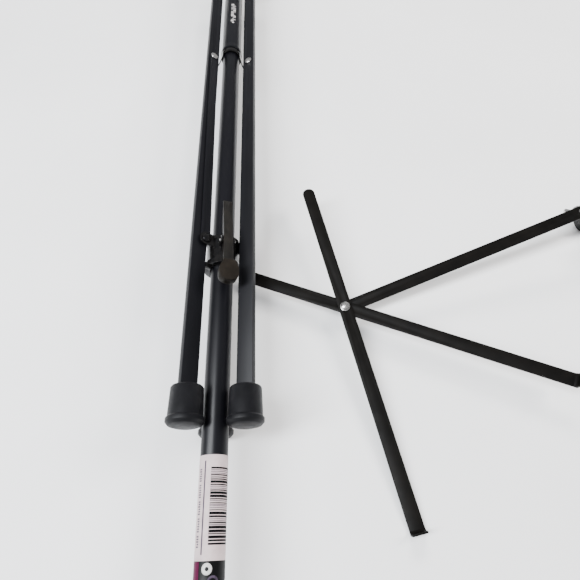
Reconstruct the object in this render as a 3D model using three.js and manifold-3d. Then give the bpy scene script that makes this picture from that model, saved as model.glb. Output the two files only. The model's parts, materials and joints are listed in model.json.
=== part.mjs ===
// Folding sign stand, laid down: a tube column with a three-legged base folded
// against it, and beside it the loose sign frame of three flat bars on one rivet.
// Millimetres, +Z up, column along Y, top end at +Y. Origin at the middle of the
// bounding box's base.
import * as THREE from 'three';
import { mergeVertices } from 'three/addons/utils/BufferGeometryUtils.js';
import Module from 'manifold-3d';

const wasm = await Module();
wasm.setup();

// ---- driving dimensions ----
const GAP = 0.3;
const ROUND = 32;
const SMALL_ROUND = 16;
const CURVE_STEPS = 6;

const COLUMN_R = 11;
const COLUMN_WALL = 1.3;
const COLUMN_LOW_Y = -100;
const COLUMN_TOP_Y = 860;
const AXIS_HEIGHT = 43.1;
const GUIDE_BORE_R = COLUMN_R + 0.8;

const INNER_R = 9.3;
const INNER_WALL = 1.3;
const INNER_LOW_Y = 560;
const INNER_TOP_Y = 930;

const LABEL_LOW_Y = -60;
const LABEL_TOP_Y = 68;
const LABEL_R = COLUMN_R + 0.2;
const LABEL_THICK = 0.25;

const HUB_Y = 800;
const HUB_HALF = 14;
const HUB_R = 18;
const SLEEVE_R = 12.9;
const SLEEVE_RIM_R = 14;
const SLEEVE_LOW_Y = 591;
const SLEEVE_TOP_Y = 822;

const LEG_ANGLES = [67.5, -52.5, 187.5];
const LEG_R = 27.6;
const LEG_DEEP = 15;
const LEG_WIDE = 6;
const LEG_SHEET = 1.2;
const LEG_RIVET_Y = 559;
const LUG_R = 14.9;
const LUG_THICK = 3;
const LUG_INSIDE = LEG_WIDE / 2 + 0.4;

const FOOT_END_Y = 84;
const FOOT_LENGTH = 33;
const FOOT_FLANGE_R = 15.6;
const FOOT_BODY_R = 14.3;
const FOOT_TOP_R = 13.6;
const LEG_END_Y = FOOT_END_Y + 9;

const BRACE_INSIDE = LEG_WIDE / 2 + 0.4;
const BRACE_THICK = 1.5;
const BRACE_WIDE = 10;
const EAR_Y = 266;
const EAR_R = 22.5;
const EAR_INSIDE = BRACE_INSIDE + BRACE_THICK + GAP;
const EAR_THICK = 2;
const RIVET_R = 3;
const RIVET_HEAD_R = 5;

const RUNNER_LOW_Y = 239;
const RUNNER_TOP_Y = 272;
const RUNNER_R = 16;
const RUNNER_FLANGE_R = 18;
const LEVER_ANGLE = 20;
const LEVER_Y = 262;
const LEVER_R = 20;
const LEVER_WIDE = 9.4;

const CLAMP_LOW_Y = 842;
const CLAMP_TOP_Y = 882;
const CLAMP_R = 15;
const CLAMP_SCREW_Y = 871;
const CLAMP_ANGLE = -15;

const BAR_WIDE = 13.3;
const BAR_THICK = 1.5;
const LAYER = BAR_THICK + GAP;
const PIVOT_X = 121.6;
const PIVOT_Y = 207.8;
const PIVOT_Z = 17.75;
const SLOPE_X = 0.0743;
const SLOPE_Y = 0.1005;
const ARM_A_ANGLE = 101.4;
const ARM_A_UPPER = 150;
const ARM_A_LOWER = 208;
const ARM_B_ANGLE = 156.9;
const ARM_B_UPPER = 108;
const ARM_B_LOWER = 222;
const LIP_HIGH = 9;
const SPINE_ANGLE = 19.5;
const SPINE_LENGTH = 297;
const PIVOT_SHANK_R = 2.6;

const TILT_ALONG = 286;
const TILT_DROP = 13;
const CHEEK_INSIDE = 3;
const CHEEK_THICK = 1.8;
const CHEEK_R = 7.5;
const SOCKET_R = 12.5;
const SOCKET_BORE_R = 9.8;
const SOCKET_START = 15;
const SOCKET_LENGTH = 52;

// ---- materials ----
function paint(color, roughness, metalness) {
  return new THREE.MeshStandardMaterial({ color, roughness, metalness });
}

const MATERIALS = {
  tube: paint(0x17181b, 0.38, 0.4),
  legs: paint(0x1b1c1e, 0.45, 0.4),
  bars: paint(0x100f0e, 0.5, 0.35),
  zinc: paint(0xb9b6b0, 0.3, 1),
  moulded: paint(0x111112, 0.5, 0),
  rubber: paint(0x161617, 0.8, 0),
  chromed: paint(0x3a3a3d, 0.15, 1),
  label: paint(0xe8dedb, 0.6, 0),
};

// ---- helpers ----
const rad = THREE.MathUtils.degToRad;
const SIDE_BASIS = new THREE.Matrix4().makeBasis(
  new THREE.Vector3(0, 1, 0), new THREE.Vector3(0, 0, 1), new THREE.Vector3(1, 0, 0));

function toSolid(geometry) {
  const bare = geometry.clone();
  bare.deleteAttribute('normal');
  bare.deleteAttribute('uv');
  const merged = mergeVertices(bare.index ? bare.toNonIndexed() : bare, 1e-4);
  return new wasm.Manifold(new wasm.Mesh({
    numProp: 3,
    vertProperties: new Float32Array(merged.attributes.position.array),
    triVerts: new Uint32Array(merged.index.array),
  }));
}

function toGeometry(solid) {
  const mesh = solid.getMesh();
  const geometry = new THREE.BufferGeometry();
  geometry.setAttribute('position', new THREE.BufferAttribute(new Float32Array(mesh.vertProperties), 3));
  geometry.setIndex(new THREE.BufferAttribute(new Uint32Array(mesh.triVerts), 1));
  return geometry;
}

function build(adds, cuts = []) {
  let solid = toSolid(adds[0]);
  for (const add of adds.slice(1)) solid = solid.add(toSolid(add));
  for (const cut of cuts) solid = solid.subtract(toSolid(cut));
  return toGeometry(solid);
}

function box(x0, x1, y0, y1, z0, z1) {
  const geometry = new THREE.BoxGeometry(x1 - x0, y1 - y0, z1 - z0);
  return geometry.translate((x0 + x1) / 2, (y0 + y1) / 2, (z0 + z1) / 2);
}

function rodY(radius, y0, y1, sides = ROUND) {
  return new THREE.CylinderGeometry(radius, radius, y1 - y0, sides).translate(0, (y0 + y1) / 2, 0);
}

function rodX(radius, x0, x1, y = 0, z = 0, sides = SMALL_ROUND) {
  const geometry = new THREE.CylinderGeometry(radius, radius, x1 - x0, sides).rotateZ(-Math.PI / 2);
  return geometry.translate((x0 + x1) / 2, y, z);
}

function rodZ(radius, z0, z1, x = 0, y = 0, sides = SMALL_ROUND) {
  const geometry = new THREE.CylinderGeometry(radius, radius, z1 - z0, sides).rotateX(Math.PI / 2);
  return geometry.translate(x, y, (z0 + z1) / 2);
}

// A closed profile of [radius, height] points turned about Y.
function turned(points, sides = ROUND) {
  return new THREE.LatheGeometry(points.map(([r, y]) => new THREE.Vector2(r, y)), sides);
}

function slab(shape, depth) {
  return new THREE.ExtrudeGeometry(shape, { depth, bevelEnabled: false, curveSegments: CURVE_STEPS });
}

// A [y, z] outline given its thickness along X, from x0 to x1.
function side(shape, x0, x1) {
  return slab(shape, x1 - x0).applyMatrix4(SIDE_BASIS).translate(x0, 0, 0);
}

// An [x, y] outline given its thickness along Z, from z0 to z1.
function flat(shape, z0, z1) {
  return slab(shape, z1 - z0).translate(0, 0, z0);
}

function outline(points) {
  return new THREE.Shape(points.map(([x, y]) => new THREE.Vector2(x, y)));
}

// A straight bar with chosen ends round: from a to b along the shape's x axis.
function barShape(a, b, width, roundA, roundB) {
  const half = width / 2;
  const shape = new THREE.Shape();
  shape.moveTo(roundA ? a + half : a, -half);
  shape.lineTo(roundB ? b - half : b, -half);
  if (roundB) shape.absarc(b - half, 0, half, -Math.PI / 2, Math.PI / 2, false);
  else shape.lineTo(b, half);
  shape.lineTo(roundA ? a + half : a, half);
  if (roundA) shape.absarc(a + half, 0, half, Math.PI / 2, Math.PI * 1.5, false);
  return shape;
}

// A rivet or bolt head: a low dome standing along +X or -X from its seat.
function domeHead(radius, high, seat, direction) {
  const shoulder = [radius * 0.93, high * 0.45];
  const crown = [radius * 0.6, high * 0.88];
  const points = [[0, 0], [radius, 0], shoulder, crown, [0, high]];
  const geometry = turned(points, SMALL_ROUND).rotateZ(-Math.PI / 2 * direction);
  return geometry.translate(seat, 0, 0);
}

function piece(parent, name, geometry, material) {
  const mesh = new THREE.Mesh(geometry, material);
  mesh.name = name;
  parent.add(mesh);
  return mesh;
}

// A group turned about the column: its +Z points radially out at this angle from
// straight up, and its +X is the tangent that follows.
function station(parent, angle) {
  const group = new THREE.Group();
  group.rotation.y = rad(angle);
  parent.add(group);
  return group;
}

// ---- column ----
function addColumn(axis) {
  const tube = build([rodY(COLUMN_R, COLUMN_LOW_Y, COLUMN_TOP_Y)],
    [rodY(COLUMN_R - COLUMN_WALL, COLUMN_LOW_Y - 1, COLUMN_TOP_Y + 1)]);
  piece(axis, 'column_tube', tube, MATERIALS.tube);

  const plugR = COLUMN_R - COLUMN_WALL - GAP;
  const capFace = COLUMN_LOW_Y - GAP;
  const cap = turned([[0, capFace - 3], [COLUMN_R - 1, capFace - 3], [COLUMN_R, capFace - 2],
    [COLUMN_R, capFace], [plugR, capFace], [plugR, capFace + 18], [0, capFace + 18]]);
  piece(axis, 'column_end_cap', cap, MATERIALS.moulded);

  const label = build([rodY(LABEL_R + LABEL_THICK, LABEL_LOW_Y, LABEL_TOP_Y)],
    [rodY(LABEL_R, LABEL_LOW_Y - 1, LABEL_TOP_Y + 1)]);
  piece(axis, 'label_wrap', label, MATERIALS.label);

  const inner = build([rodY(INNER_R, INNER_LOW_Y, INNER_TOP_Y)],
    [rodY(INNER_R - INNER_WALL, INNER_LOW_Y - 1, INNER_TOP_Y + 1)]);
  piece(axis, 'inner_tube', inner, MATERIALS.tube);

  const innerPlugR = INNER_R - INNER_WALL - GAP;
  const plugFace = INNER_TOP_Y + GAP;
  const plug = turned([[0, plugFace - 16], [innerPlugR, plugFace - 16], [innerPlugR, plugFace],
    [INNER_R, plugFace], [INNER_R, plugFace + 2], [INNER_R - 1, plugFace + 3], [0, plugFace + 3]]);
  piece(axis, 'inner_tube_plug', plug, MATERIALS.moulded);
}

// A hand knob with soft lobes, its disc from z0 to z1 on the Z axis.
function knobDisc(radius, lobes, depth, z0, z1) {
  const steps = lobes * 8;
  const points = [];
  for (let i = 0; i < steps; i += 1) {
    const turn = (i / steps) * Math.PI * 2;
    const reach = radius - depth * (0.5 - 0.5 * Math.cos(lobes * turn));
    points.push([reach * Math.cos(turn), reach * Math.sin(turn)]);
  }
  return flat(outline(points), z0, z1);
}

function addClamp(axis) {
  const shell = station(axis, CLAMP_ANGLE);
  const bossTop = 23;
  const screwR = 3;
  const collar = build(
    [rodY(CLAMP_R, CLAMP_LOW_Y, CLAMP_TOP_Y), rodZ(7, 6, bossTop, 0, CLAMP_SCREW_Y)],
    [rodY(COLUMN_R + GAP, CLAMP_LOW_Y - 1, COLUMN_TOP_Y + GAP),
      rodY(INNER_R + 0.4, CLAMP_LOW_Y, CLAMP_TOP_Y + 1),
      rodZ(screwR + GAP, 0, bossTop + 1, 0, CLAMP_SCREW_Y)]);
  piece(shell, 'clamp_collar', collar, MATERIALS.moulded);

  const knob = build([rodZ(screwR, 0, 20), knobDisc(12, 5, 2.6, 13.5, 26)]);
  const mesh = piece(shell, 'clamp_knob', knob, MATERIALS.moulded);
  mesh.position.set(0, CLAMP_SCREW_Y, INNER_R + 0.7);
}

// ---- three-legged base ----
function addHub(axis) {
  const sleeve = turned([[GUIDE_BORE_R, SLEEVE_LOW_Y], [SLEEVE_RIM_R, SLEEVE_LOW_Y],
    [SLEEVE_RIM_R, SLEEVE_LOW_Y + 3], [SLEEVE_RIM_R - 0.6, SLEEVE_LOW_Y + 8],
    [SLEEVE_R, SLEEVE_LOW_Y + 14], [SLEEVE_R, SLEEVE_TOP_Y], [GUIDE_BORE_R, SLEEVE_TOP_Y],
    [GUIDE_BORE_R, SLEEVE_LOW_Y]]);
  piece(axis, 'hub_sleeve', sleeve, MATERIALS.tube);

  const lugShape = new THREE.Shape();
  lugShape.moveTo(-LUG_R, HUB_R - LEG_R - 6);
  lugShape.lineTo(LUG_R, HUB_R - LEG_R - 6);
  lugShape.lineTo(LUG_R, 0);
  lugShape.absarc(0, 0, LUG_R, 0, Math.PI, false);
  const adds = [rodY(HUB_R, HUB_Y - HUB_HALF, HUB_Y + HUB_HALF)];
  const cuts = [rodY(SLEEVE_R + GAP, HUB_Y - HUB_HALF - 1, HUB_Y + HUB_HALF + 1)];
  for (const angle of LEG_ANGLES) {
    for (const x0 of [LUG_INSIDE, -LUG_INSIDE - LUG_THICK]) {
      adds.push(side(lugShape, x0, x0 + LUG_THICK).translate(0, HUB_Y, LEG_R).rotateY(rad(angle)));
    }
    cuts.push(rodX(RIVET_R + GAP, -12, 12, HUB_Y, LEG_R).rotateY(rad(angle)));
  }
  piece(axis, 'hub_spider', build(adds, cuts), MATERIALS.moulded);

  const ringTop = SLEEVE_LOW_Y - GAP;
  const ringLow = ringTop - 8;
  const ringR = GUIDE_BORE_R + 1.5;
  const fingers = [rodY(ringR, ringLow, ringTop)];
  const fingerShape = outline([[ringTop - 1, ringR - 0.8], [ringLow - 5, ringR - 0.4],
    [ringLow - 20, 15.8], [ringLow - 31, 18.4], [ringLow - 31, 19.6], [ringLow - 20, 17],
    [ringLow - 5, ringR + 0.9],
    [ringTop - 1, ringR + 0.5]]);
  for (const angle of LEG_ANGLES) {
    fingers.push(side(fingerShape, -1.7, 1.7).rotateY(rad(angle)));
  }
  const keeper = build(fingers, [rodY(GUIDE_BORE_R, ringLow - 1, ringTop + 1)]);
  piece(axis, 'leg_keeper_spring', keeper, MATERIALS.chromed);
}

function footShape() {
  const bottom = [[0, 0], [9.5, 0.3], [13.5, 1.5], [FOOT_FLANGE_R, 4], [FOOT_FLANGE_R, 7]];
  const body = [[FOOT_BODY_R, 8.5], [FOOT_TOP_R, FOOT_LENGTH - 1.5], [FOOT_TOP_R - 1, FOOT_LENGTH],
    [0, FOOT_LENGTH]];
  return turned([...bottom, ...body]);
}

function addLeg(axis, index) {
  const number = index + 1;
  const place = station(axis, LEG_ANGLES[index]);
  const half = LEG_DEEP / 2;
  const length = HUB_Y - LEG_END_Y;
  const rivetDown = LEG_RIVET_Y - HUB_Y;

  const sideShape = barShape(-length, half, LEG_DEEP, false, true);
  const inside = LEG_WIDE / 2 - LEG_SHEET;
  const channel = build([side(sideShape, -LEG_WIDE / 2, LEG_WIDE / 2)],
    [box(-inside, inside, -length - 1, half + 1, -half - 1, half - LEG_SHEET - 0.3),
      rodX(RIVET_R + GAP, -5, 5), rodX(RIVET_R + GAP, -5, 5, rivetDown)]);
  piece(place, `leg_${number}`, channel, MATERIALS.legs).position.set(0, HUB_Y, LEG_R);

  const outer = LUG_INSIDE + LUG_THICK + GAP;
  const pin = build([rodX(RIVET_R, -outer - 1, outer + 1), domeHead(RIVET_HEAD_R, 2, outer, 1),
    domeHead(RIVET_HEAD_R, 2, -outer, -1)]);
  piece(place, `hub_pin_${number}`, pin, MATERIALS.zinc).position.set(0, HUB_Y, LEG_R);

  const seat = BRACE_INSIDE + BRACE_THICK + GAP;
  const rivet = build([rodX(RIVET_R, -LEG_WIDE / 2 - 1, seat + 1), domeHead(RIVET_HEAD_R, 2.2, seat, 1),
    domeHead(RIVET_HEAD_R, 2.2, -LEG_WIDE / 2 - GAP, -1)]);
  piece(place, `leg_rivet_${number}`, rivet, MATERIALS.zinc).position.set(0, LEG_RIVET_Y, LEG_R);

  const slack = 0.35;
  const wide = LEG_WIDE / 2 + slack;
  const deep = half + slack;
  const foot = build([footShape()], [box(-wide, wide, 8.4, FOOT_LENGTH + 1, -deep, deep)]);
  piece(place, `foot_${number}`, foot, MATERIALS.rubber).position.set(0, FOOT_END_Y, LEG_R);

  const reach = Math.hypot(LEG_RIVET_Y - EAR_Y, LEG_R - EAR_R);
  const end = BRACE_WIDE / 2;
  const brace = build([side(barShape(-reach - end, end, BRACE_WIDE, true, true), BRACE_INSIDE,
    BRACE_INSIDE + BRACE_THICK)], [rodX(RIVET_R + GAP, 0, 9), rodX(RIVET_R + GAP, 0, 9, -reach)]);
  const braceMesh = piece(place, `brace_${number}`, brace, MATERIALS.legs);
  braceMesh.position.set(0, LEG_RIVET_Y, LEG_R);
  braceMesh.rotation.x = Math.asin((LEG_R - EAR_R) / reach);
}

// ---- runner on the column, with its release lever ----
function addRunner(axis) {
  const earEnd = 7;
  const earShape = new THREE.Shape();
  earShape.moveTo(-earEnd, 13 - EAR_R);
  earShape.lineTo(earEnd - 1, 13 - EAR_R);
  earShape.lineTo(earEnd, 0);
  earShape.absarc(0, 0, earEnd, 0, Math.PI, false);
  const adds = [rodY(RUNNER_R, RUNNER_LOW_Y, RUNNER_TOP_Y),
    rodY(RUNNER_FLANGE_R, RUNNER_LOW_Y, RUNNER_LOW_Y + 5),
    rodY(RUNNER_R + 0.8, RUNNER_TOP_Y - 4, RUNNER_TOP_Y)];
  const cuts = [rodY(GUIDE_BORE_R, RUNNER_LOW_Y - 1, RUNNER_TOP_Y + 1)];
  for (const angle of LEG_ANGLES) {
    const ear = side(earShape, EAR_INSIDE, EAR_INSIDE + EAR_THICK).translate(0, EAR_Y, EAR_R);
    adds.push(ear.rotateY(rad(angle)));
    cuts.push(rodX(RIVET_R + GAP, 0, 12, EAR_Y, EAR_R).rotateY(rad(angle)));
  }
  const lugShape = barShape(-10, 4.5, 9, false, true);
  for (const x0 of [LEVER_WIDE / 2 + 0.6, -LEVER_WIDE / 2 - 2.2]) {
    const lug = flat(lugShape, 0, 1.6).rotateY(-Math.PI / 2).translate(x0 + 1.6, LEVER_Y, LEVER_R);
    adds.push(lug.rotateY(rad(LEVER_ANGLE)));
  }
  cuts.push(rodX(1.8, -10, 10, LEVER_Y, LEVER_R).rotateY(rad(LEVER_ANGLE)));
  const hook = box(-2, 2, RUNNER_LOW_Y - 3, RUNNER_LOW_Y + 2, RUNNER_R - 3, RUNNER_FLANGE_R + 2);
  adds.push(hook.rotateY(rad(-48)));
  piece(axis, 'runner_collar', build(adds, cuts), MATERIALS.chromed);

  LEG_ANGLES.forEach((angle, index) => {
    const seat = EAR_INSIDE + EAR_THICK + GAP;
    const bolt = build([rodX(RIVET_R, EAR_INSIDE, seat + 1), domeHead(RIVET_HEAD_R, 2.6, seat, 1)]);
    const mesh = piece(station(axis, angle), `ear_bolt_${index + 1}`, bolt, MATERIALS.chromed);
    mesh.position.set(0, EAR_Y, EAR_R);
  });

  const place = station(axis, LEVER_ANGLE);
  const pinEnd = LEVER_WIDE / 2 + 3.4;
  piece(place, 'lever_pin', rodX(1.5, -pinEnd, pinEnd), MATERIALS.zinc).position.set(0, LEVER_Y, LEVER_R);

  const leverShape = outline([[56, -7.7], [56, -6.2], [20, 1.5], [4, 4.2], [-34, 9.5], [-44, 10],
    [-44, 7.5], [-32, 6.5], [-22, 2], [-6, -2.8], [11, -2.8], [15, -7.7]]);
  const springSpace = LEVER_WIDE / 2 - 1.5;
  const lever = build([side(leverShape, -LEVER_WIDE / 2, LEVER_WIDE / 2)],
    [rodX(1.8, -6, 6), box(-springSpace, springSpace, -3.4, 3.4, -6, 2.9)]);
  piece(place, 'release_lever', lever, MATERIALS.chromed).position.set(0, LEVER_Y, LEVER_R);

  const padShape = new THREE.Shape();
  padShape.moveTo(-5.6, 4);
  padShape.lineTo(-9, -4);
  padShape.lineTo(-9, -10);
  padShape.absarc(-1.5, -10, 7.5, Math.PI, Math.PI * 1.5, false);
  padShape.absarc(1.5, -10, 7.5, Math.PI * 1.5, Math.PI * 2, false);
  padShape.lineTo(9, -4);
  padShape.lineTo(5.6, 4);
  const tongue = LEVER_WIDE / 2 + GAP;
  const pad = build([flat(padShape, -4.2, 5)], [box(-tongue, tongue, -10.5, 5, -3.3, 2.2)]);
  piece(place, 'lever_pad', pad, MATERIALS.moulded).position.set(0, LEVER_Y - 34, LEVER_R + 8.3);

  const coils = 3;
  const coilSteps = 10;
  const coilR = 2.5;
  const points = [];
  for (let i = 0; i <= coils * coilSteps; i += 1) {
    const turn = (i / coilSteps) * Math.PI * 2;
    const along = -2 + (4 * i) / (coils * coilSteps);
    points.push(new THREE.Vector3(along, coilR * Math.cos(turn), coilR * Math.sin(turn)));
  }
  const wire = new THREE.Shape();
  wire.absarc(0, 0, 0.35, 0, Math.PI * 2, false);
  const spring = new THREE.ExtrudeGeometry(wire, {
    steps: coils * coilSteps,
    curveSegments: CURVE_STEPS,
    bevelEnabled: false,
    extrudePath: new THREE.CatmullRomCurve3(points),
  });
  piece(place, 'lever_spring', spring, MATERIALS.zinc).position.set(0, LEVER_Y, LEVER_R);
}

// ---- sign frame ----
function addArm(plane, name, angle, upper, lower, layer) {
  const bend = 2;
  const z0 = layer * LAYER;
  const half = BAR_WIDE / 2;
  const bar = flat(barShape(-lower, upper, BAR_WIDE, false, true), z0, z0 + BAR_THICK);
  const lip = box(-lower, -lower + BAR_THICK, -half, half, z0, z0 + BAR_THICK + LIP_HIGH);
  const root = flat(outline([[0, 0], [bend, 0], [0, bend]]), -half, half).rotateX(Math.PI / 2);
  root.translate(-lower + BAR_THICK - 0.01, 0, z0 + BAR_THICK - 0.01);
  const shape = build([bar, lip, root], [rodZ(PIVOT_SHANK_R + GAP, -9, 9)]);
  const arm = piece(plane, name, shape, MATERIALS.bars);
  arm.rotation.z = rad(angle);
}

function addSignFrame(parent) {
  const normal = new THREE.Vector3(-SLOPE_X, -SLOPE_Y, 1).normalize();
  const plane = new THREE.Group();
  plane.position.set(PIVOT_X, PIVOT_Y, PIVOT_Z);
  plane.quaternion.setFromUnitVectors(new THREE.Vector3(0, 0, 1), normal);
  parent.add(plane);

  addArm(plane, 'arm_a', ARM_A_ANGLE, ARM_A_UPPER, ARM_A_LOWER, 0);
  addArm(plane, 'arm_b', ARM_B_ANGLE, ARM_B_UPPER, ARM_B_LOWER, -1);

  const spine = new THREE.Group();
  spine.rotation.z = rad(SPINE_ANGLE);
  plane.add(spine);
  const spineLow = -2 * LAYER;
  const underside = spineLow - GAP;
  const smallRivets = [TILT_ALONG - 8, TILT_ALONG + 5];
  const rivetHole = 1.9;
  const smallHoles = smallRivets.map((x) => rodZ(rivetHole, -9, 9, x));
  const spineShape = barShape(-BAR_WIDE / 2, SPINE_LENGTH, BAR_WIDE, true, false);
  const bar = build([flat(spineShape, spineLow, spineLow + BAR_THICK)],
    [rodZ(PIVOT_SHANK_R + GAP, -9, 9), ...smallHoles]);
  piece(spine, 'spine_bar', bar, MATERIALS.bars);

  const shank = [[0, underside - 2], [3.6, underside - 2], [4.4, underside], [PIVOT_SHANK_R, underside],
    [PIVOT_SHANK_R, BAR_THICK + 0.95], [4.6, BAR_THICK + 0.95], [4.3, BAR_THICK + 2.1],
    [2.8, BAR_THICK + 3.1], [0, BAR_THICK + 3.5]];
  piece(plane, 'frame_rivet', turned(shank, SMALL_ROUND).rotateX(Math.PI / 2), MATERIALS.zinc);
  const washer = build([rodZ(5, BAR_THICK + 0.2, BAR_THICK + 0.75)], [rodZ(PIVOT_SHANK_R + GAP, 0, 9)]);
  piece(plane, 'rivet_washer', washer, MATERIALS.zinc);

  const pivotZ = underside - TILT_DROP;
  const cheekOutside = CHEEK_INSIDE + CHEEK_THICK;
  const cheek = new THREE.Shape();
  cheek.moveTo(-12, TILT_DROP);
  cheek.lineTo(-CHEEK_R, 0);
  cheek.absarc(0, 0, CHEEK_R, Math.PI, Math.PI * 2, false);
  cheek.lineTo(10, TILT_DROP);
  const cheekWalls = [-cheekOutside, CHEEK_INSIDE].map((y0) => {
    const wall = flat(cheek, y0, y0 + CHEEK_THICK).rotateX(Math.PI / 2);
    return wall.translate(TILT_ALONG, CHEEK_THICK + 2 * y0, pivotZ);
  });
  const bridge = box(TILT_ALONG - 12, TILT_ALONG + 10, -cheekOutside, cheekOutside,
    underside - CHEEK_THICK, underside);
  const clevis = build([bridge, ...cheekWalls],
    [rodX(2.8, -9, 9).rotateZ(Math.PI / 2).translate(TILT_ALONG, 0, pivotZ), ...smallHoles]);
  piece(spine, 'tilt_clevis', clevis, MATERIALS.bars);

  const rivetTop = spineLow + BAR_THICK + 0.2;
  const rivetLow = underside - CHEEK_THICK - 0.2;
  const stud = [[0, rivetLow - 1], [2.8, rivetLow - 1], [2.8, rivetLow], [1.6, rivetLow], [1.6, rivetTop],
    [3.2, rivetTop], [2.6, rivetTop + 1], [0, rivetTop + 1.3]];
  smallRivets.forEach((x, index) => {
    const shape = turned(stud, SMALL_ROUND).rotateX(Math.PI / 2).translate(x, 0, 0);
    piece(spine, `clevis_rivet_${index + 1}`, shape, MATERIALS.zinc);
  });

  // the socket hangs from the tilt bolt and lies level on its own round side
  parent.updateMatrixWorld(true);
  const toParent = parent.matrixWorld.clone().invert().multiply(spine.matrixWorld);
  const pivot = new THREE.Vector3(TILT_ALONG, 0, pivotZ).applyMatrix4(toParent);
  const along = new THREE.Vector3(1, 0, 0).transformDirection(toParent);
  const across = new THREE.Vector3(0, 1, 0).transformDirection(toParent);
  const level = Math.asin(along.z);
  const sideTilt = Math.sqrt(1 - across.z * across.z);
  const drop = (pivot.z - SOCKET_R) / sideTilt;

  const hinge = new THREE.Group();
  hinge.position.set(TILT_ALONG, 0, pivotZ);
  spine.add(hinge);
  const boltEnd = cheekOutside + 8;
  const headSeat = -cheekOutside - GAP;
  const tiltBolt = turned([[0, headSeat - 3.4], [4.6, headSeat - 3.4], [4.6, headSeat], [2.5, headSeat],
    [2.5, boltEnd - 0.6], [2, boltEnd], [0, boltEnd]], SMALL_ROUND);
  piece(hinge, 'tilt_bolt', tiltBolt, MATERIALS.zinc);

  const nutLow = cheekOutside + GAP;
  const wing = outline([[3, 0], [7, 1.2], [12.5, 6], [12.8, 9], [10, 10], [6.5, 7], [3.5, 6.5]]);
  const wingA = flat(wing, -1.1, 1.1);
  const wingB = wingA.clone().rotateY(Math.PI);
  const nut = build([turned([[0, 0], [5.2, 0], [4.4, 6.8], [0, 6.8]], SMALL_ROUND), wingA, wingB],
    [rodY(2.8, -1, 8, SMALL_ROUND)]);
  piece(hinge, 'wing_nut', nut, MATERIALS.zinc).position.y = nutLow;

  const head = new THREE.Group();
  head.rotation.y = level;
  hinge.add(head);
  const socketEnd = SOCKET_START + SOCKET_LENGTH;
  const screwX = SOCKET_START + 32;
  const screwTop = -drop + SOCKET_R + 5;
  const rodAlong = (radius, x0, x1) => rodX(radius, x0, x1, 0, -drop, ROUND);
  const lugShape = outline([[SOCKET_START + 2, -drop + 9], [SOCKET_START + 2, -drop - 4],
    [SOCKET_START - 2, -drop - 2], [-6.5, -3], [-6.9, 1], [-4, 5.8], [1, 6.9], [6, 3.6]]);
  const lug = flat(lugShape, -2.6, 2.6).rotateX(Math.PI / 2);
  const screwBoss = rodZ(6, -drop + 8, screwTop, screwX, 0);
  const socket = build([rodAlong(SOCKET_R, SOCKET_START, socketEnd), screwBoss, lug],
    [rodAlong(SOCKET_BORE_R, SOCKET_START + 4, socketEnd + 1),
      rodZ(2.8, -drop, screwTop + 1, screwX, 0),
      rodX(2.8, -4, 4).rotateZ(Math.PI / 2)]);
  piece(head, 'head_socket', socket, MATERIALS.moulded);

  const thumb = build([rodZ(2.5, 0, 13), knobDisc(8, 6, 1.4, 9, 18)]);
  const screw = piece(head, 'socket_thumb_screw', thumb, MATERIALS.moulded);
  screw.position.set(screwX, 0, -drop + SOCKET_BORE_R + 0.4);
}

// ---- assembly ----
const group = new THREE.Group();
group.name = 'sign_stand';
const stand = new THREE.Group();
group.add(stand);
const axis = new THREE.Group();
axis.position.z = AXIS_HEIGHT;
stand.add(axis);

addColumn(axis);
addClamp(axis);
addHub(axis);
LEG_ANGLES.forEach((angle, index) => addLeg(axis, index));
addRunner(axis);
addSignFrame(stand);

group.updateMatrixWorld(true);
const bounds = new THREE.Box3().setFromObject(group, true);
const middle = bounds.getCenter(new THREE.Vector3());
stand.position.set(-middle.x, -middle.y, -bounds.min.z);
group.updateMatrixWorld(true);

export default group;
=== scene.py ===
"""Looks of the folding sign stand: satin black tube and legs, rubber feet, zinc
hardware, the printed label and the flat riveted sign frame, on a pale floor."""
import json
import math
import random

import bmesh
import bpy
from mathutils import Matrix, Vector


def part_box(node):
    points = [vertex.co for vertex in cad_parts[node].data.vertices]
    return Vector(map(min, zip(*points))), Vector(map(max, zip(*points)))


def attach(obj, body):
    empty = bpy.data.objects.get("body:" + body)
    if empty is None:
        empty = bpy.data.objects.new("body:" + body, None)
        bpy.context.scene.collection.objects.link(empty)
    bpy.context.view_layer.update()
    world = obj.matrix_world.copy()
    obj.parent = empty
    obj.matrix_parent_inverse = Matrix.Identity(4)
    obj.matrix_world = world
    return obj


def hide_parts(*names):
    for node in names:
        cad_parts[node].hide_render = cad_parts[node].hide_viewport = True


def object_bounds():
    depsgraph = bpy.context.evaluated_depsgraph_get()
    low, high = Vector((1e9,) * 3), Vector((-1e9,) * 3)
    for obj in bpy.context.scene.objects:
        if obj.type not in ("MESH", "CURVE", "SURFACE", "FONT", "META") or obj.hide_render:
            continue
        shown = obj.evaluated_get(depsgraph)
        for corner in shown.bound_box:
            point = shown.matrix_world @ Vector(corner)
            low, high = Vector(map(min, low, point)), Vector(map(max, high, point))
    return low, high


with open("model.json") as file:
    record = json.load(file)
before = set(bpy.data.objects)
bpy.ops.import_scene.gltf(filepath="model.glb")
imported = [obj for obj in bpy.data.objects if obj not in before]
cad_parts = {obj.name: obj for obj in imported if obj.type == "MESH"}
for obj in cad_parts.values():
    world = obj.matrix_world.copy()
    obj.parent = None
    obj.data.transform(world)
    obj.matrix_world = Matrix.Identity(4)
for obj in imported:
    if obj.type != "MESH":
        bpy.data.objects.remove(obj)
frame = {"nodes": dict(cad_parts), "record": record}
CAD_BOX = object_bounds()

MM = 0.001


def middle(node):
    low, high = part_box(node)
    return (Vector(low) + Vector(high)) / 2


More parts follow.
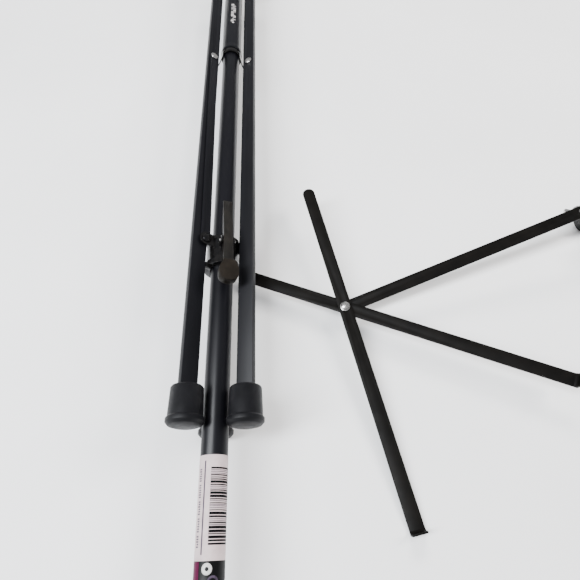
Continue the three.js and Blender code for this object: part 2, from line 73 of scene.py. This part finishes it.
# ---- places, from the frame ----
COLUMN = middle("column_tube")
AXIS_X = COLUMN.x
AXIS_Z = COLUMN.z
COLUMN_R = 11 * MM
SLEEVE_R = 12.9 * MM
FOOT_END_LENGTH = 84 * MM
STAND_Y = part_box("foot_1")[0][1] - FOOT_END_LENGTH    # where lengths along the column start


def on_axis(length_mm):
    """World Y of a length read along the column."""
    return STAND_Y + length_mm * MM


def around(radius, angle, y):
    """A point at this angle from straight up around the column."""
    turn = math.radians(angle)
    return Vector((AXIS_X + radius * math.sin(turn), y, AXIS_Z + radius * math.cos(turn)))


# ---- materials ----
def node_of(tree, kind, **values):
    node = tree.nodes.new(kind)
    for key, value in values.items():
        if key in node.inputs:
            node.inputs[key].default_value = value
        else:
            setattr(node, key, value)
    return node


def noise(tree, coords, scale, detail=3.0, stretch=(1, 1, 1)):
    mapping = node_of(tree, "ShaderNodeMapping", Scale=stretch)
    tree.links.new(coords, mapping.inputs["Vector"])
    texture = node_of(tree, "ShaderNodeTexNoise", Scale=scale, Detail=detail)
    tree.links.new(mapping.outputs["Vector"], texture.inputs["Vector"])
    return texture.outputs["Fac"]


def ramp(tree, source, low, high, start=0.35, end=0.65):
    node = tree.nodes.new("ShaderNodeValToRGB")
    node.color_ramp.elements[0].position = start
    node.color_ramp.elements[1].position = end
    node.color_ramp.elements[0].color = (*low, 1)
    node.color_ramp.elements[1].color = (*high, 1)
    tree.links.new(source, node.inputs["Fac"])
    return node.outputs["Color"]


def spread(tree, source, low, high, start=0.3, end=0.7):
    node = node_of(tree, "ShaderNodeMapRange")
    node.inputs["From Min"].default_value = start
    node.inputs["From Max"].default_value = end
    node.inputs["To Min"].default_value = low
    node.inputs["To Max"].default_value = high
    tree.links.new(source, node.inputs["Value"])
    return node.outputs["Result"]


def surface(name, dark, light, rough, cloud, grain, bump, metallic=0.0, stretch=(1, 1, 1),
            depth=0.00006, spec=0.5):
    """A procedural finish: clouded colour, uneven gloss and a fine grain. The cloud and
    grain are noise scales, and rough gives the lowest and highest roughness."""
    material = bpy.data.materials.new(name)
    material.use_nodes = True
    tree = material.node_tree
    shader = tree.nodes["Principled BSDF"]
    shader.inputs["Metallic"].default_value = metallic
    shader.inputs["Specular IOR Level"].default_value = spec
    coords = tree.nodes.new("ShaderNodeTexCoord").outputs["Object"]
    clouds = noise(tree, coords, cloud, 5, stretch)
    colour = ramp(tree, clouds, dark, light)
    tree.links.new(colour, shader.inputs["Base Color"])
    smear = noise(tree, coords, cloud * 2.3, 6, stretch)
    tree.links.new(spread(tree, smear, rough[0], rough[1]), shader.inputs["Roughness"])
    fine = noise(tree, coords, grain, 2, stretch)
    relief = node_of(tree, "ShaderNodeBump", Strength=bump, Distance=depth)
    tree.links.new(fine, relief.inputs["Height"])
    tree.links.new(relief.outputs["Normal"], shader.inputs["Normal"])
    return material


TUBE = surface("satin_tube_paint", (0.0025, 0.0025, 0.0035), (0.004, 0.004, 0.0055), (0.34, 0.4),
               cloud=30, grain=5200, bump=0.05, stretch=(1, 0.2, 1), spec=0.2)
LEGS = surface("leg_paint", (0.003, 0.003, 0.004), (0.0055, 0.0055, 0.007), (0.42, 0.52),
               cloud=36, grain=4200, bump=0.08, stretch=(1, 0.2, 1), spec=0.2)
BARS = surface("bar_paint", (0.002, 0.0017, 0.0014), (0.004, 0.0034, 0.0028), (0.45, 0.58),
               cloud=60, grain=3200, bump=0.12, spec=0.12)
RUBBER = surface("foot_rubber", (0.0025, 0.0025, 0.0032), (0.0045, 0.0045, 0.0055), (0.46, 0.6),
                 cloud=90, grain=1800, bump=0.3, depth=0.00012, spec=0.2)
MOULDED = surface("moulded_black", (0.0025, 0.0025, 0.0028), (0.0045, 0.0045, 0.005), (0.3, 0.42),
                  cloud=110, grain=2400, bump=0.3, depth=0.0001, spec=0.35)
PAD = surface("lever_pad_plastic", (0.006, 0.0045, 0.003), (0.01, 0.0075, 0.005), (0.42, 0.55),
              cloud=120, grain=2200, bump=0.3, spec=0.2)
ZINC = surface("bright_zinc_plate", (0.5, 0.48, 0.46), (0.68, 0.66, 0.64), (0.2, 0.36), metallic=1,
               cloud=240, grain=3000, bump=0.12, stretch=(1, 1, 3))
NICKEL = surface("black_nickel_plate", (0.012, 0.012, 0.013), (0.028, 0.026, 0.025), (0.14, 0.28),
                 metallic=0.8, cloud=160, grain=1500, bump=0.1)
PAPER = surface("label_paper", (0.43, 0.35, 0.355), (0.51, 0.425, 0.425), (0.5, 0.6),
                cloud=130, grain=2600, bump=0.15, spec=0.3)
INK = surface("label_ink", (0.0015, 0.001, 0.0015), (0.003, 0.0025, 0.003), (0.55, 0.65),
              cloud=400, grain=2600, bump=0.1, spec=0.1)
FADED_INK = surface("label_fine_ink", (0.03, 0.02, 0.036), (0.055, 0.04, 0.062), (0.5, 0.6),
                    cloud=500, grain=2600, bump=0.1, spec=0.3)
DARK_BAND = surface("label_dark_print", (0.0015, 0.0015, 0.0018), (0.003, 0.0028, 0.003), (0.4, 0.5),
                    cloud=130, grain=2600, bump=0.1, spec=0.15)
MAGENTA = surface("label_magenta_print", (0.05, 0.0006, 0.02), (0.075, 0.001, 0.028), (0.35, 0.45),
                  cloud=130, grain=2600, bump=0.1, spec=0.1)
WHITE_MARK = surface("white_mark_print", (0.42, 0.4, 0.39), (0.56, 0.54, 0.53), (0.4, 0.5),
                     cloud=700, grain=2600, bump=0.1)
LEVER = surface("lever_lacquer", (0.004, 0.0035, 0.003), (0.009, 0.0075, 0.006), (0.3, 0.42),
                cloud=140, grain=2400, bump=0.15, spec=0.3)

FINISHES = {"satin_black_tube": TUBE, "black_leg_paint": LEGS, "black_bar_paint": BARS, "bright_zinc": ZINC,
            "black_nickel": NICKEL, "black_moulding": MOULDED, "black_rubber": RUBBER, "printed_label": PAPER}


def smoothing_group(limit_degrees):
    """A geometry node group that shades smoothly and keeps edges over the limit sharp."""
    group = bpy.data.node_groups.new("smooth_below_angle", "GeometryNodeTree")
    group.interface.new_socket("Geometry", in_out="INPUT", socket_type="NodeSocketGeometry")
    group.interface.new_socket("Geometry", in_out="OUTPUT", socket_type="NodeSocketGeometry")
    start = group.nodes.new("NodeGroupInput")
    end = group.nodes.new("NodeGroupOutput")
    faces = group.nodes.new("GeometryNodeSetShadeSmooth")
    faces.domain = "FACE"
    faces.inputs["Shade Smooth"].default_value = True
    edges = group.nodes.new("GeometryNodeSetShadeSmooth")
    edges.domain = "EDGE"
    edges.inputs["Shade Smooth"].default_value = False
    angle = group.nodes.new("GeometryNodeInputMeshEdgeAngle")
    sharp = group.nodes.new("FunctionNodeCompare")
    sharp.operation = "GREATER_THAN"
    sharp.inputs["B"].default_value = math.radians(limit_degrees)
    group.links.new(angle.outputs["Unsigned Angle"], sharp.inputs["A"])
    group.links.new(start.outputs[0], faces.inputs["Geometry"])
    group.links.new(faces.outputs[0], edges.inputs["Geometry"])
    group.links.new(sharp.outputs["Result"], edges.inputs["Selection"])
    group.links.new(edges.outputs[0], end.inputs[0])
    return group


SHARP_ANGLE = 32
SMOOTH = smoothing_group(SHARP_ANGLE)


def refine(obj, width):
    """Rounds the hard edges to this width and shades the round faces smooth, by modifiers only."""
    weld = obj.modifiers.new("join_corners", "WELD")
    weld.merge_threshold = 0.00001
    if width:
        bevel = obj.modifiers.new("soft_edges", "BEVEL")
        bevel.width = width
        bevel.segments = 2
        bevel.limit_method = "ANGLE"
        bevel.angle_limit = math.radians(SHARP_ANGLE)
        bevel.use_clamp_overlap = True
    shading = obj.modifiers.new("smooth_shading", "NODES")
    shading.node_group = SMOOTH


USUAL_EDGE = 0.25
EDGE = {"column_tube": 0.2, "inner_tube": 0.2, "hub_sleeve": 0.3, "hub_spider": 0.6, "runner_collar": 0.3,
        "release_lever": 0.3, "lever_pad": 0.8, "lever_spring": 0, "clamp_collar": 0.6, "clamp_knob": 0.7,
        "head_socket": 0.5, "socket_thumb_screw": 0.6, "leg_keeper_spring": 0.2, "wing_nut": 0.4}


OWN_FINISH = {"lever_pad": PAD, "release_lever": LEVER}


def dress_cad_nodes():
    slots = {row["node"]: row["material_slot"] for row in frame["record"]["subparts"]}
    for name, obj in frame["nodes"].items():
        material = OWN_FINISH.get(name) or FINISHES[slots[name]]
        obj.data.materials.clear()
        obj.data.materials.append(material)
        refine(obj, EDGE.get(name, USUAL_EDGE) * MM)


# ---- pieces made here ----
FULL_TURN = 359.9


def new_piece(name, verts, faces, material, body, slot):
    mesh = bpy.data.meshes.new(name)
    mesh.from_pydata([tuple(v) for v in verts], [], faces)
    mesh.validate()
    work = bmesh.new()
    work.from_mesh(mesh)
    bmesh.ops.remove_doubles(work, verts=work.verts, dist=0.000001)
    bmesh.ops.recalc_face_normals(work, faces=work.faces)
    work.to_mesh(mesh)
    work.free()
    for polygon in mesh.polygons:
        polygon.use_smooth = True
    mesh.materials.append(material)
    obj = bpy.data.objects.new(name, mesh)
    bpy.context.scene.collection.objects.link(obj)
    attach(obj, body)
    return obj


def patch_data(radius, thick, a0, a1, y0, y1, steps, verts=None, faces=None):
    """A closed curved tile around the column, from angle a0 to a1 and from y0 to y1, added
    to the given lists. A full turn joins up with itself."""
    verts = [] if verts is None else verts
    faces = [] if faces is None else faces
    first = len(verts)
    for i in range(steps + 1):
        angle = a0 + (a1 - a0) * i / steps
        for r, y in ((radius, y0), (radius, y1), (radius + thick, y1), (radius + thick, y0)):
            verts.append(around(r, angle, y))
    for i in range(steps):
        a, b = first + 4 * i, first + 4 * (i + 1)
        for k in range(4):
            m = (k + 1) % 4
            faces.append((a + k, a + m, b + m, b + k))
    if abs(a1 - a0) < FULL_TURN:
        faces.append((first, first + 3, first + 2, first + 1))
        last = first + 4 * steps
        faces.append((last, last + 1, last + 2, last + 3))
    return verts, faces


# ---- the label: radii in metres, lengths along the column in mm, angles in degrees ----
PAPER_R = COLUMN_R + 0.06 * MM
PAPER_THICK = 0.12 * MM
PRINT_R = PAPER_R + PAPER_THICK - 0.01 * MM
PRINT_THICK = 0.05 * MM
LABEL_LOW = -58
LABEL_JOIN = -6.7                  # where the dark part meets the pale part
LABEL_TOP = 64.2
LABEL_STEPS = 96

CODE_LOW, CODE_TOP = 3.0, 55.5
CODE_ANGLES = (-1, 96)
BAR_WIDTHS = (0.5, 0.7, 0.9, 1.3, 1.8)
BAR_GAPS = (0.45, 0.6, 0.8)
WIDEST_FINE_BAR = 0.6

LINE_ANGLES = (-28.5, -22.5)
LINE_LOW, LINE_TOP = -3, 59.9
TICKS = 34
TICK_START = 1.5
TICK_PITCH = 1.62
TICK_HIGH = 0.95
TICK_ANGLES = (-56, -42)
TICK_INDENTS = (0, 2, 4)


def add_label():
    paper = patch_data(PAPER_R, PAPER_THICK, 0, 360, on_axis(LABEL_JOIN), on_axis(LABEL_TOP), LABEL_STEPS)
    sheet = new_piece("label_paper", *paper, PAPER, "column", "printed_label")
    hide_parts("label_wrap")
    refine(sheet, 0)
    dark = patch_data(PAPER_R, PAPER_THICK, 0, 360, on_axis(LABEL_LOW), on_axis(LABEL_JOIN), LABEL_STEPS)
    refine(new_piece("label_dark_part", *dark, DARK_BAND, "column", "printed_label"), 0)

    # bars of a generic code that stands for nothing, in a fixed made-up rhythm
    draw = random.Random(11)
    verts, faces = [], []
    fine_verts, fine_faces = [], []
    y = CODE_LOW
    while y < CODE_TOP:
        wide = draw.choice(BAR_WIDTHS)
        target = (verts, faces) if wide > WIDEST_FINE_BAR else (fine_verts, fine_faces)
        patch_data(PRINT_R, PRINT_THICK, *CODE_ANGLES, on_axis(y), on_axis(y + wide), 24, *target)
        y += wide + draw.choice(BAR_GAPS)
    refine(new_piece("label_bars", verts, faces, INK, "column", "printed_label"), 0)

    # a long line, and beside it a column of plain ticks in groups of six
    patch_data(PRINT_R, PRINT_THICK, *LINE_ANGLES, on_axis(LINE_LOW), on_axis(LINE_TOP), 2,
               fine_verts, fine_faces)
    for i in range(TICKS):
        start = TICK_START + i * TICK_PITCH
        if i % 7 != 5:
            left = TICK_ANGLES[0] + draw.choice(TICK_INDENTS)
            patch_data(PRINT_R, PRINT_THICK, left, TICK_ANGLES[1], on_axis(start),
                       on_axis(start + TICK_HIGH), 2, fine_verts, fine_faces)
    refine(new_piece("label_fine_marks", fine_verts, fine_faces, FADED_INK, "column", "printed_label"), 0)

    stripe = patch_data(PRINT_R, PRINT_THICK, -88, -33, on_axis(-57.5), on_axis(LABEL_JOIN - 0.4), 16)
    refine(new_piece("label_stripe", *stripe, MAGENTA, "column", "printed_label"), 0)
    add_disc("label_disc", -1, on_axis(-11.5), 0, 3.7 * MM, WHITE_MARK)
    add_disc("label_disc_centre", -1, on_axis(-11.5), 1, 1.3 * MM, DARK_BAND)
    add_ring("label_ring", 22, on_axis(-19.5), 2.6 * MM, 4.2 * MM, FADED_INK)


def add_disc(name, angle, y, layer, radius, material, rings=5, sides=36):
    """A round printed spot lying on the curved label."""
    r = PRINT_R + PRINT_THICK * (0.6 + layer * 0.8)
    verts = [around(r, angle, y)]
    faces = []
    for ring in range(1, rings + 1):
        reach = radius * ring / rings
        for i in range(sides):
            turn = 2 * math.pi * i / sides
            across = math.degrees(reach * math.cos(turn) / COLUMN_R)
            verts.append(around(r, angle + across, y + reach * math.sin(turn)))
    for i in range(sides):
        faces.append((0, 1 + i, 1 + (i + 1) % sides))
    for ring in range(rings - 1):
        for i in range(sides):
            a = 1 + ring * sides
            k = (i + 1) % sides
            faces.append((a + i, a + sides + i, a + sides + k, a + k))
    spot = new_piece(name, verts, faces, material, "column", "printed_label")
    thicken(spot)


def add_ring(name, angle, y, inner, outer, material, sides=40):
    """A round printed ring lying on the curved label."""
    verts = []
    faces = []
    for i in range(sides):
        turn = 2 * math.pi * i / sides
        for reach in (inner, outer):
            across = math.degrees(reach * math.cos(turn) / COLUMN_R)
            verts.append(around(PRINT_R + PRINT_THICK * 0.6, angle + across, y + reach * math.sin(turn)))
    for i in range(sides):
        a, b = 2 * i, 2 * ((i + 1) % sides)
        faces.append((a, a + 1, b + 1, b))
    thicken(new_piece(name, verts, faces, material, "column", "printed_label"))


def thicken(obj):
    """Gives a printed sheet its thickness, outwards."""
    solid = obj.modifiers.new("print_thickness", "SOLIDIFY")
    solid.thickness = PRINT_THICK
    solid.offset = 1


MARKS_LOW, MARKS_TOP = 649.0, 697
MARKS_GAP = 1.7
MARKS_R = SLEEVE_R - 0.02 * MM
MARKS_THICK = 0.08 * MM


def add_sleeve_marks():
    """A short row of plain white strokes where the sleeve is printed."""
    draw = random.Random(5)
    verts, faces = [], []
    y = MARKS_LOW
    while y < MARKS_TOP:
        wide = draw.choice((1.2, 1.8, 2.2))
        a0 = draw.choice((-5, -5, 4, 8))
        a1 = draw.choice((24, 24, 16, 12))
        patch_data(MARKS_R, MARKS_THICK, a0, a1, on_axis(y), on_axis(y + wide), 6, verts, faces)
        y += wide + MARKS_GAP
    refine(new_piece("sleeve_marks", verts, faces, WHITE_MARK, "tripod", "satin_black_tube"), 0)


# ---- surroundings ----
FLOOR_SIZE = 6
FLOOR_GAP = 0.0002


def add_floor():
    bpy.ops.mesh.primitive_plane_add(size=FLOOR_SIZE, location=(0, 0, CAD_BOX[0][2] - FLOOR_GAP))
    floor = bpy.context.object
    floor.name = "studio_floor"
    paper = surface("floor_paper", (0.84, 0.84, 0.84), (0.88, 0.88, 0.88), (0.7, 0.8),
                    cloud=4, grain=60, bump=0.02)
    floor.data.materials.append(paper)


def add_area(name, place, target, size, power, colour=(1, 1, 1), glossy=True):
    light = bpy.data.lights.new(name, "AREA")
    light.shape = "RECTANGLE"
    light.size, light.size_y = size
    light.energy = power
    light.color = colour
    obj = bpy.data.objects.new(name, light)
    obj.visible_glossy = glossy
    obj.location = place
    obj.rotation_euler = (Vector(target) - Vector(place)).to_track_quat("-Z", "Y").to_euler()
    bpy.context.scene.collection.objects.link(obj)


def add_lights():
    world = bpy.data.worlds.new("studio_world")
    world.use_nodes = True
    background = world.node_tree.nodes["Background"]
    background.inputs["Color"].default_value = (0.95, 0.97, 1, 1)
    background.inputs["Strength"].default_value = 0.5
    bpy.context.scene.world = world
    target = (AXIS_X + 0.1, STAND_Y + 0.3, 0)
    add_area("key_window", (AXIS_X - 0.9, STAND_Y - 0.1, 1.5), target, (0.45, 1.5), 80, (0.93, 0.96, 1))
    add_area("fill_right", (AXIS_X + 1.7, STAND_Y + 0.5, 1.3), target, (0.8, 0.8), 50, (1, 0.97, 0.94),
             glossy=False)
    add_area("far_soft", (AXIS_X + 0.3, STAND_Y + 2.4, 1.5), target, (1.4, 0.6), 70, (1, 0.98, 0.96),
             glossy=False)


# the camera stands above the lower end of the column and looks steeply down along it
CAMERA_ASIDE = 57.8 * MM
CAMERA_ABOVE_AXIS = 376.6 * MM
CAMERA_LENGTH = -2.2
CAMERA_DOWN = 60
CAMERA_TURN = -2.23
CAMERA_LENS = 27.93


def add_camera():
    data = bpy.data.cameras.new("camera")
    data.lens = CAMERA_LENS
    data.sensor_width = 36
    data.clip_start = 0.01
    obj = bpy.data.objects.new("camera", data)
    obj.location = (AXIS_X + CAMERA_ASIDE, on_axis(CAMERA_LENGTH), AXIS_Z + CAMERA_ABOVE_AXIS)
    obj.rotation_euler = (math.radians(90 - CAMERA_DOWN), 0, math.radians(CAMERA_TURN))
    bpy.context.scene.collection.objects.link(obj)
    bpy.context.scene.camera = obj


add_camera()
dress_cad_nodes()
add_label()
add_sleeve_marks()
add_floor()
add_lights()
